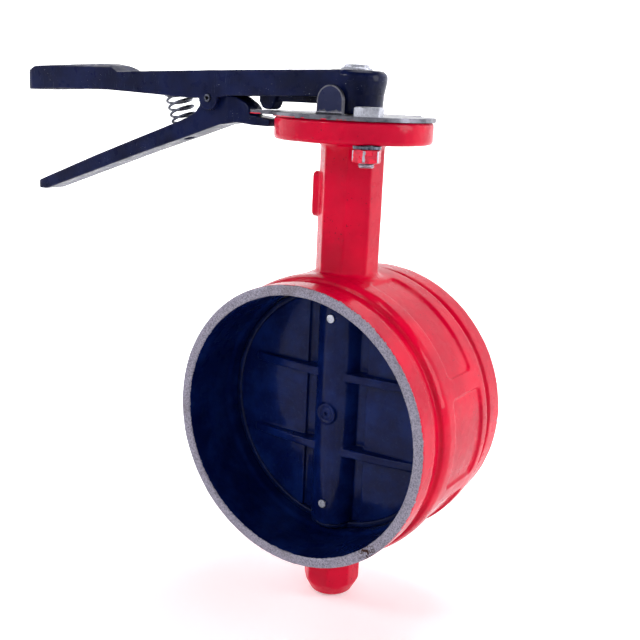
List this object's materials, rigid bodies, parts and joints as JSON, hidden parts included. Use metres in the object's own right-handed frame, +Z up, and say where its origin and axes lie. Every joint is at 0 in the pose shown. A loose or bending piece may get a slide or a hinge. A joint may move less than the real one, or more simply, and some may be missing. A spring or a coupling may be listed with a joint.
{
  "type": "butterfly valve",
  "caption": "Grooved-end butterfly valve with a concentric rubber-rimmed disc, stem in a tall neck, notch plate and squeeze-latch lever.",
  "frame": {"origin": "centre of the water way, halfway between the two end faces, on the stem axis", "axes": "+Y along the pipe axis away from the front end, +Z up the stem towards the lever, the closed lever points to -X"},
  "size_m": [0.4606, 0.1542, 0.4269],
  "materials": {
    "red_epoxy": "gloss red epoxy on ductile iron",
    "disc_coating": "dark navy coating, semi gloss",
    "rim_rubber": "moulded dark rubber",
    "stem_steel": "ground stainless steel",
    "bush_bronze": "sintered bronze",
    "seal_rubber": "black nitrile",
    "plate_zinc": "bright zinc plate",
    "bolt_zinc": "zinc plated, slightly dulled",
    "painted_nut": "zinc plated nut, partly overpainted red",
    "lever_black": "gloss blue-black enamel on a casting",
    "spring_steel": "oiled dark spring steel"
  },
  "bodies": {
    "body": {"valve_body": "red_epoxy", "upper_bush": "bush_bronze", "middle_bush": "bush_bronze", "lower_bush": "bush_bronze", "upper_o_rings": "seal_rubber", "lower_o_ring": "seal_rubber", "thrust_washer": "bush_bronze", "notch_plate": "plate_zinc", "plate_bolts": "bolt_zinc", "plate_spring_washers": "spring_steel", "plate_nuts": "painted_nut"},
    "disc_and_lever": {"disc": "disc_coating", "disc_seal": "rim_rubber", "upper_stem": "stem_steel", "lower_stem": "stem_steel", "taper_pins": "stem_steel", "stem_circlip": "spring_steel", "lever": "lever_black", "lever_bolt": "bolt_zinc", "lever_washer": "bolt_zinc", "trigger_pin": "spring_steel", "latch_spring": "spring_steel"},
    "trigger": {"latch_trigger": "lever_black"}
  },
  "joints": [
    {"name": "stem_turn", "type": "hinge", "parent": "body", "child": "disc_and_lever", "pos_m": [0, 0, 0], "axis": [0, 0, -1], "range_deg": [0, 90]},
    {"name": "latch_squeeze", "type": "hinge", "parent": "disc_and_lever", "child": "trigger", "pos_m": [-0.129, 0, 0.2384], "axis": [0, 1, 0], "range_deg": [0, 16], "stiffness_Nm_per_rad": 6, "springref_deg": -14.32, "deforming": ["latch_spring"]}
  ]
}
